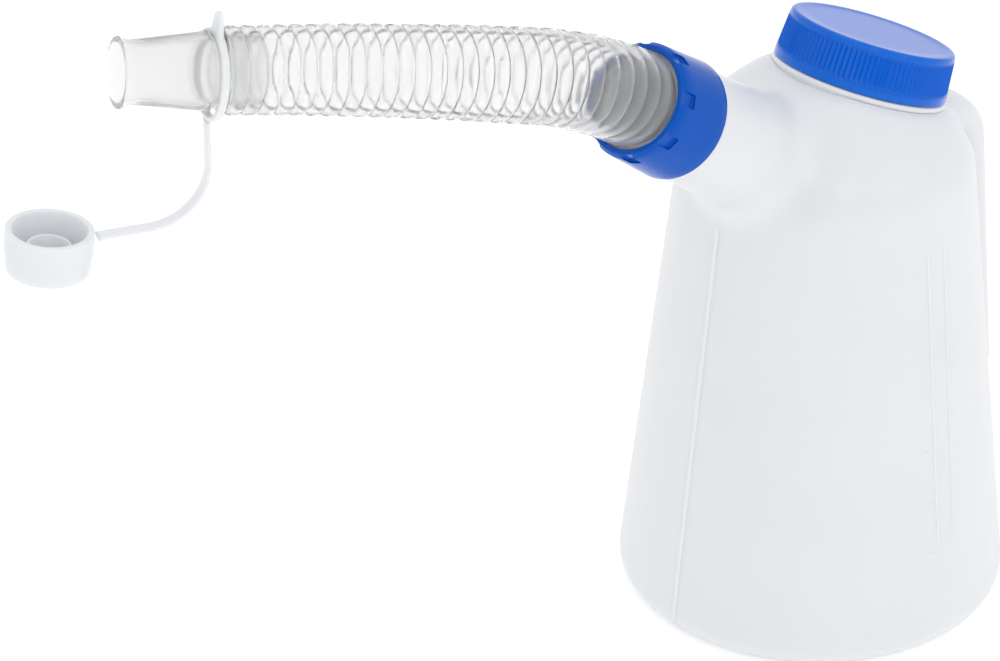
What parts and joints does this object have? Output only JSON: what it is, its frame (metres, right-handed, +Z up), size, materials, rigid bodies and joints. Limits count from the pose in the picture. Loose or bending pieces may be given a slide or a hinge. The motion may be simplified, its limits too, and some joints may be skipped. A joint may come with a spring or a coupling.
{
  "type": "fluid measuring jug",
  "caption": "Tapered translucent plastic jug with a side handle, a tilted screw lid, a level scale and a screwed-on flexible corrugated pouring spout with a tethered tip cap.",
  "frame": {"origin": "centre of the flat underside the jug stands on", "axes": "+Z up along the jug's axis, -X towards the pouring spout, +X towards the handle, -Y the side with the level strip"},
  "size_m": [0.3849, 0.1505, 0.2888],
  "materials": {
    "jug_body": "satin",
    "filler_lid": "satin",
    "lid_seal": "matte",
    "swivel_nut": "gloss",
    "spout_seal": "matte",
    "flex_hose": "gloss",
    "nozzle": "gloss",
    "tether_ring": "satin",
    "tether_strap": "satin",
    "tip_cap": "satin"
  },
  "bodies": {
    "jug": {"jug_body": "jug_body"},
    "lid_seal": {"lid_seal": "lid_seal"},
    "lid": {"filler_lid": "filler_lid"},
    "spout_seal": {"spout_seal": "spout_seal"},
    "nut": {"swivel_nut": "swivel_nut"},
    "hose": {"flex_hose": "flex_hose"},
    "tip": {"nozzle": "nozzle"},
    "ring": {"tether_ring": "tether_ring", "tether_strap": "tether_strap"},
    "cap": {"tip_cap": "tip_cap"}
  },
  "joints": [
    {"name": "lid_rise", "type": "slide", "parent": "jug", "child": "lid_seal", "axis": [0.373, 0, 0.9278], "range_m": [0, 0.015]},
    {"name": "lid_turn", "type": "hinge", "parent": "lid_seal", "child": "lid", "pos_m": [0.0152, 0, 0.1959], "axis": [0.373, 0, 0.9278], "range_deg": [0, 900.05]},
    {"name": "spout_lift", "type": "slide", "parent": "jug", "child": "spout_seal", "axis": [-0.8028, 0, 0.5962], "range_m": [0, 0.01688]},
    {"name": "nut_turn", "type": "hinge", "parent": "spout_seal", "child": "nut", "pos_m": [-0.07458, 0, 0.2115], "axis": [-0.8028, 0, 0.5962], "range_deg": [0, 1350.05]},
    {"name": "spout_swivel", "type": "hinge", "parent": "spout_seal", "child": "hose", "pos_m": [-0.07458, 0, 0.2115], "axis": [-0.8028, 0, 0.5962], "range_deg": [-180, 180]},
    {"name": "hose_bend", "type": "hinge", "parent": "hose", "child": "tip", "pos_m": [-0.16196, 0.01679, 0.25317], "axis": [-0.399, -0.7431, -0.5372], "range_deg": [-31, 60], "deforming": ["flex_hose"]},
    {"name": "ring_turn", "type": "hinge", "parent": "tip", "child": "ring", "pos_m": [-0.2319, 0.04369, 0.26789], "axis": [-0.9127, 0.378, 0.1549], "continuous": true},
    {"name": "cap_swing", "type": "hinge", "parent": "ring", "child": "cap", "pos_m": [-0.24928, 0.05089, 0.23198], "axis": [0.3827, 0.9239, 0], "range_deg": [-40, 70], "deforming": ["tether_strap"]}
  ],
  "couplings": [
    {"joint": "lid_turn", "follows": "lid_rise", "rad_per_m": 1047.2},
    {"joint": "nut_turn", "follows": "spout_lift", "rad_per_m": 1396.3}
  ]
}
